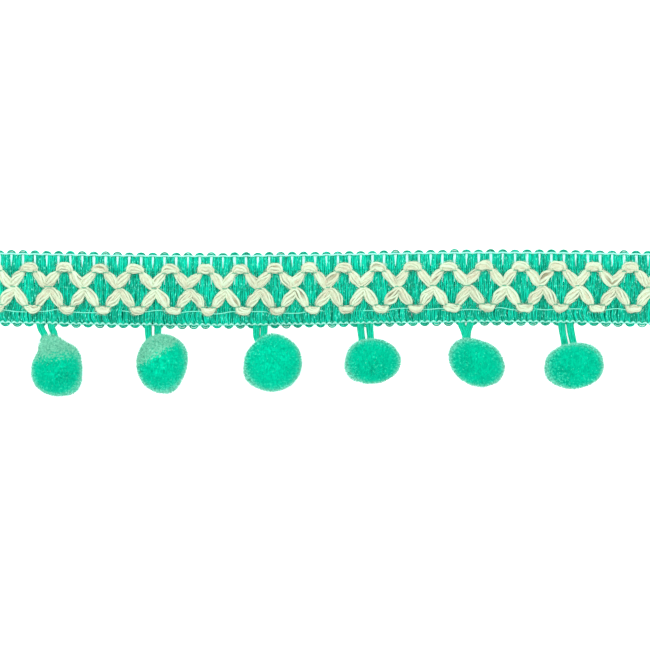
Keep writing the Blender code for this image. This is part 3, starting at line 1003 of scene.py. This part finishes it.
def crossings_at(offset, shift):
    """Where a yarn passes under a binder: on both sides of each peak, at the given offset."""
    places = []
    for peak in range(-1, REPEATS + 1):
        middle = FIRST_PEAK_X + shift + peak * REPEAT
        places += [middle - offset, middle + offset]
    return sorted(set(round(place, 6) for place in places))


def back_thread(row_y):
    """The return of a thread on the band's back, straight and flat."""
    return band_route(band_stations(2.0 * MM), row_y, BACK_THREAD_Z)


def float_thread():
    """A loose thread on the lower strip that dips out of sight here and there."""
    dice = np.random.default_rng(SEED + 5)
    knots = []
    for x in band_stations(3.6 * MM):
        hidden = dice.random() < FLOAT_HIDDEN_SHARE
        z = FLOAT_HIDDEN_Z if hidden else FLOAT_Z
        knots.append((x, FLOAT_Y + dice.uniform(-0.50, 0.40) * MM, z))
    return in_band(smooth_path(knots, 8))


class TRIM_OT_threads(bpy.types.Operator):
    """Run the edge threads, the binding threads and the loose float along the band"""

    bl_idname = "trim.threads"
    bl_label = "Threads"

    def execute(self, context):
        sizes, colours = context.scene.trim_sizes, context.scene.trim_colours
        mint = thread("mint_chain_thread", colours.mint)
        grey_green = thread("binding_thread", colours.binder)
        upper = tubes("edge_thread_mint", round_strands([upper_edge_thread()], sizes.edge_radius), 6, mint)
        fit(upper, "pale_chain_thread", "edge_thread_upper")
        chain_thread = thread("mint_edge_chain", colours.mint, lay_shade=0.66)
        lower = tubes("edge_chain_mint", [lower_edge_chain(sizes.chain_radius)], 6, chain_thread)
        fit(lower, "pale_chain_thread", "edge_thread_lower")
        radius = sizes.binder_radius
        upper_bar_end, lower_bar_end = UPPER_PEAK[3].x, LOWER_PEAK[3].x
        routes = (
            binder(BINDER_ROWS_Y[0], crossings_at(upper_bar_end, 0)),
            binder(BINDER_ROWS_Y[1], crossings_at(REPEAT / 2, LOWER_YARN_SHIFT / 2)),
            binder(BINDER_ROWS_Y[2], crossings_at(lower_bar_end, LOWER_YARN_SHIFT)),
        )
        fit(tubes("binding_threads", round_strands(routes, radius), 6, grey_green), "pale_chain_thread")
        teal = viscose("viscose_warp_threads", colours.weft, colours.weft_deep, colours.weft_gleam)
        routes = [warp(row, 2.1 * number) for number, row in enumerate(WARP_ROWS_Y)]
        warps = round_strands(routes, radius * WARP_FINENESS, WARP_TONE)
        fit(tubes("warp_threads", warps, 4, teal), "viscose_weft")
        backs = round_strands([back_thread(row) for row in THREAD_ROWS_Y], radius)
        fit(tubes("back_threads", backs, 5, grey_green), "pale_chain_thread")
        loose = Strand(float_thread(), FLOAT_HALF_WIDTH, FLOAT_HALF_HEIGHT, 0.5)
        bright = thread("loose_float_thread", colours.float_mint)
        fit(tubes("float_thread", [loose], 6, bright), "pale_chain_thread")
        return {"FINISHED"}


# ---- Pompoms ----

def half_sizes(pompom):
    return np.array(pompom.half_sizes) * MM


def pompom_centre(pompom):
    x, y = pompom.centre
    return np.array((x * MM, y * MM, half_sizes(pompom)[2] - FLAT_SPOT_DEPTH))


def pompom_points(pompom, directions, reach):
    """Places in the given directions from a pompom's middle, at a share of its full radius."""
    swollen = np.ones(len(directions))
    for swell in pompom.swells:
        bearing = math.radians(swell.bearing)
        towards = np.array((math.cos(bearing), math.sin(bearing), SWELL_DIP))
        towards /= np.linalg.norm(towards)
        away = np.degrees(np.arccos(np.clip(directions @ towards, -1, 1)))
        swollen += swell.size * np.exp(-(away / swell.spread) ** 2)
    places = directions * (np.asarray(reach) * swollen)[:, None]
    places = places * half_sizes(pompom)
    tilt = math.radians(pompom.tilt)
    turned = np.column_stack((
        places[:, 0] * math.cos(tilt) - places[:, 1] * math.sin(tilt),
        places[:, 0] * math.sin(tilt) + places[:, 1] * math.cos(tilt),
        places[:, 2],
    ))
    return turned + pompom_centre(pompom)


def even_directions(count, dice):
    """Directions spread evenly over a ball, each a little out of place."""
    index = np.arange(count) + 0.5
    polar = np.arccos(1 - 2 * index / count)
    turn = math.pi * (1 + math.sqrt(5)) * index
    spread = np.column_stack((np.cos(turn) * np.sin(polar), np.sin(turn) * np.sin(polar), np.cos(polar)))
    return unit_rows(spread + dice.normal(0, 0.6 / math.sqrt(count), spread.shape))


def fade_at(pompom, places):
    """How faded the pile is at each place: 0 or less on the dyed side, near 1 well inside the pale side."""
    if pompom.fade_start is None:
        return np.full(len(places), -1.0)
    bearing = math.radians(pompom.fade_bearing)
    beyond = (places - pompom_centre(pompom)) @ (math.cos(bearing), math.sin(bearing), 0.1)
    past_start = beyond - pompom.fade_start * MM
    return np.clip(0.5 + past_start / (pompom.fade_span * MM), -1, MOST_FADED)


def parted_at(pompom, places):
    """How far the pile has parted at each place: 1 in the middle of its parting, if it has one."""
    if pompom.parting is None:
        return np.zeros(len(places))
    x, y, spread = pompom.parting
    away = places[:, :2] - pompom_centre(pompom)[:2] - (x * MM, y * MM)
    return np.exp(-(away ** 2).sum(axis=1) / (spread * MM) ** 2)


def fibre_corners(pompom, sizes, directions, dice):
    """The corners of each tapered fibre, three at its root and one at its tip, and the tips unbent."""
    count = len(directions)
    root_share = 1 - sizes.pile_length / half_sizes(pompom).mean()
    clumps = np.sin(directions @ dice.normal(0, 9, (3, 5)) + dice.uniform(*ANY_PHASE, 5)).sum(axis=1)
    tip_share = 1 + CLUMP_HEIGHT * clumps + dice.uniform(*FIBRE_UNEVENNESS, count)
    guard = np.arange(count) % GUARD_EVERY == 0
    tip_share = tip_share + guard * dice.uniform(*GUARD_EXTRA, count)
    radius = np.where(guard, GUARD_FINENESS, 1.0) * sizes.fibre_radius
    leaning = unit_rows(directions + dice.normal(0, FIBRE_LEAN, directions.shape))
    roots = pompom_points(pompom, directions, np.full(count, root_share))
    tips = pompom_points(pompom, leaning, tip_share)
    along = unit_rows(tips - roots)
    side = unit_rows(np.cross(along, dice.normal(0, 1, along.shape)))
    other = np.cross(along, side)
    corners = np.empty((count, 4, 3))
    for k in range(3):
        angle = 2 * math.pi * k / 3
        corners[:, k] = roots + radius[:, None] * (math.cos(angle) * side + math.sin(angle) * other)
    corners[:, 3] = tips
    corners[:, :, 2] = np.maximum(corners[:, :, 2], LOWEST_FIBRE_Z)
    return corners, tips


def pile_mesh(name, pompom, sizes, seed, material):
    """A ball of thin, tapered fibres round a firm middle, with its lowest fibres bent flat."""
    dice = np.random.default_rng(seed)
    directions = even_directions(sizes.fibres, dice)
    corners, tips = fibre_corners(pompom, sizes, directions, dice)
    base = 4 * np.arange(sizes.fibres)[:, None]
    faces = np.concatenate([base + row for row in ((0, 1, 3), (1, 2, 3), (2, 0, 3), (0, 2, 1))])
    mesh = bpy.data.meshes.new(name)
    mesh.from_pydata(corners.reshape(-1, 3), [], faces.tolist())
    # 1 at the pompom's sides and below, 0 on its top.
    sideways = np.clip(1.3 - 1.5 * directions[:, 2], 0, 1)
    patchy = np.sin(directions @ dice.normal(0, 2.2, (3, 3)) + dice.uniform(*ANY_PHASE, 3)).sum(axis=1)
    parted = parted_at(pompom, tips)
    # Rougher at the sides, in patches, more on the left, and where the pile has parted. Rough places
    # get painted glints and painted darker and brighter specks.
    rough = np.clip(sideways * (0.92 - 0.25 * directions[:, 0] + 0.22 * patchy) + 0.45 * parted, 0, 1)
    # 0 at a fibre's root, and at its end up to 1.4, the more the further it stands at the side: where pale
    # ends are painted as rim light.
    tip = (0.5 + 0.9 * sideways)[:, None] * (0.0, 0.0, 0.0, 1.0)
    set_values(mesh, "rough", np.repeat(rough, 4))
    set_values(mesh, "fade", np.repeat(fade_at(pompom, tips), 4))
    set_values(mesh, "parted", np.repeat(parted, 4))
    set_values(mesh, "tip", tip.ravel())
    mesh.shade_smooth()
    lit = unit_rows(directions + dice.normal(0, PILE_SCATTER, directions.shape) + (0, 0, PILE_LIFT))
    mesh.normals_split_custom_set_from_vertices(np.repeat(lit, 4, axis=0).tolist())
    mesh.materials.append(material)
    return add_piece(name, mesh)


def pompom_core(name, pompom, sizes, material):
    """The firm middle under the pile: a ball moved to the pompom's form."""
    bpy.ops.object.select_all(action="DESELECT")
    bpy.ops.mesh.primitive_ico_sphere_add(subdivisions=5, radius=1.0)
    core = bpy.context.object
    core.name = core.data.name = name
    share = 1 - CORE_DEPTH * sizes.pile_length / half_sizes(pompom).mean()
    flat = np.empty(3 * len(core.data.vertices))
    core.data.vertices.foreach_get("co", flat)
    directions = unit_rows(flat.reshape(-1, 3))
    places = pompom_points(pompom, directions, np.full(len(directions), share))
    places[:, 2] = np.maximum(places[:, 2], LOWEST_CORE_Z)
    core.data.vertices.foreach_set("co", places.ravel())
    set_values(core.data, "fade", fade_at(pompom, places))
    core.data.shade_smooth()
    core.data.materials.append(material)
    return core


class TRIM_OT_pompoms(bpy.types.Operator):
    """Make the pompoms: dense cut pile round a firm middle, each of its own shape"""

    bl_idname = "trim.pompoms"
    bl_label = "Pompoms"

    def execute(self, context):
        sizes, colours = context.scene.trim_sizes, context.scene.trim_colours
        material = cut_pile("cut_pile_dyed", colours)
        for number, pompom in enumerate(POMPOMS, start=1):
            core = pompom_core(f"pompom_core_{number}", pompom, sizes, material)
            fit(core, "cut_pile")
            pile = pile_mesh(f"pompom_pile_{number}", pompom, sizes, SEED + 40 + number, material)
            fit(pile, "cut_pile", f"pompom_{number}")
        return {"FINISHED"}


# ---- Hanging cords ----

def cord_route(pompom):
    """A cord's middle: out of the band, into the pompom, round its middle and back."""
    knots = []
    for leg, lift in ((pompom.left_leg, 0.0), (pompom.right_leg, 0.15)):
        places = [
            (leg.top_x, -7.90, 0.62),
            (leg.top_x, -8.75, 0.88),
            (leg.top_x, -9.50, 0.85),
            (leg.bend_x, leg.bend_y, 0.85 + lift),
            (leg.end_x, leg.end_y, 1.80 + lift),
            (leg.end_x, leg.end_y - 2.0, 2.80),
        ]
        knots += places if leg is pompom.left_leg else places[::-1]
    return smooth_path(np.array(knots) * MM, 5)


def cord_strands(pompom, radius, seed):
    """The strands of a flat, soft cord, which turn slowly round one another."""
    dice = np.random.default_rng(seed)
    middle = cord_route(pompom)
    middle[:, 1] += sway(middle[:, 0])
    across, run = across_path(middle), run_along(middle)
    strands = []
    for number in range(CORD_STRANDS):
        angle = 2 * np.pi * number / CORD_STRANDS + CORD_TWIST * run
        points = middle + across * (CORD_SPREAD * np.cos(angle))[:, None]
        points[:, 2] += CORD_RISE * np.sin(angle)
        strands.append(Strand(points, radius, radius, dice.uniform(0.5, 1.0)))
    return strands


class TRIM_OT_cords(bpy.types.Operator):
    """Hang each pompom on its loop of soft cord"""

    bl_idname = "trim.cords"
    bl_label = "Hanging cords"

    def execute(self, context):
        sizes, colours = context.scene.trim_sizes, context.scene.trim_colours
        # The cords gleam in dashes of the pile's glow colour: painted highlights.
        material = viscose("viscose_cord_soft", colours.cord, colours.cord_deep, colours.pile_glow)
        for number, pompom in enumerate(POMPOMS, start=1):
            strands = cord_strands(pompom, sizes.cord_strand_radius, SEED + 60 + number)
            cord = tubes(f"hanging_cord_{number}", strands, 6, material)
            fit(cord, "viscose_cord", f"hanging_loop_{number}")
        return {"FINISHED"}


# ---- Stage ----

class TRIM_OT_stage(bpy.types.Operator):
    """Set a plain pale floor, soft light and a camera straight above"""

    bl_idname = "trim.stage"
    bl_label = "Stage"

    def execute(self, context):
        scene = context.scene
        bpy.ops.object.select_all(action="DESELECT")
        bpy.ops.mesh.primitive_plane_add(size=FLOOR_SIZE, location=(0, 0, FLOOR_Z))
        floor = context.object
        floor.name = "floor"
        # The board is faintly lit from behind, so that the narrow gaps between cords stay pale.
        material, tree = new_material("matt_white_board")
        add_shader(
            tree,
            {"Base Color": (0.92, 0.92, 0.92, 1.0), "Roughness": 0.9, "Specular IOR Level": 0.0,
             "Emission Color": (1.0, 1.0, 1.0, 1.0), "Emission Strength": FLOOR_GLOW})
        floor.data.materials.append(material)

        world = bpy.data.worlds.new("white_studio")
        world.use_nodes = True
        sky = world.node_tree.nodes["Background"]
        sky.inputs["Color"].default_value = (1.0, 1.0, 1.0, 1.0)
        sky.inputs["Strength"].default_value = SKY_STRENGTH
        scene.world = world
        scene.view_settings.view_transform = "Standard"

        bpy.ops.object.light_add(type="AREA", location=(-0.08, 0.22, 1.68))
        key = context.object
        key.name = "soft_overhead"
        key.data.shape = "SQUARE"
        key.data.size = KEY_LIGHT_SIZE
        key.data.energy = KEY_LIGHT_WATTS
        key.rotation_euler = (-key.location).to_track_quat("-Z", "Y").to_euler()

        bpy.ops.object.camera_add(location=VIEW_CENTRE + Vector((0, 0, CAMERA_DISTANCE)))
        camera = context.object
        camera.data.sensor_width = SENSOR_WIDTH
        camera.data.lens = SENSOR_WIDTH * CAMERA_DISTANCE / VIEW_WIDTH
        camera.data.clip_end = 10.0
        scene.camera = camera
        return {"FINISHED"}


class TRIM_PT_panel(bpy.types.Panel):
    """Steps that build the trim, and its sizes, dyes and painted light and shade"""

    bl_label = "Pompom fringe trim"
    bl_idname = "TRIM_PT_panel"
    bl_space_type = "VIEW_3D"
    bl_region_type = "UI"
    bl_category = "Trim"

    def draw(self, context):
        for step in STEPS:
            self.layout.operator(step.bl_idname)
        for group in (context.scene.trim_sizes, context.scene.trim_colours):
            box = self.layout.box()
            for name in group.__annotations__:
                box.prop(group, name)


STEPS = (TRIM_OT_weft, TRIM_OT_cream_yarns, TRIM_OT_threads, TRIM_OT_pompoms, TRIM_OT_cords, TRIM_OT_stage)
CLASSES = (TrimSizes, TrimColours, *STEPS, TRIM_PT_panel)


def register():
    for cls in CLASSES:
        bpy.utils.register_class(cls)
    bpy.types.Scene.trim_sizes = bpy.props.PointerProperty(type=TrimSizes)
    bpy.types.Scene.trim_colours = bpy.props.PointerProperty(type=TrimColours)


def unregister():
    del bpy.types.Scene.trim_colours
    del bpy.types.Scene.trim_sizes
    for cls in reversed(CLASSES):
        bpy.utils.unregister_class(cls)


def main():
    register()
    bpy.ops.object.select_all(action="DESELECT")
    bpy.ops.trim.weft()
    bpy.ops.trim.cream_yarns()
    bpy.ops.trim.threads()
    bpy.ops.trim.pompoms()
    bpy.ops.trim.cords()
    bpy.ops.trim.stage()


if __name__ == "__main__":
    main()
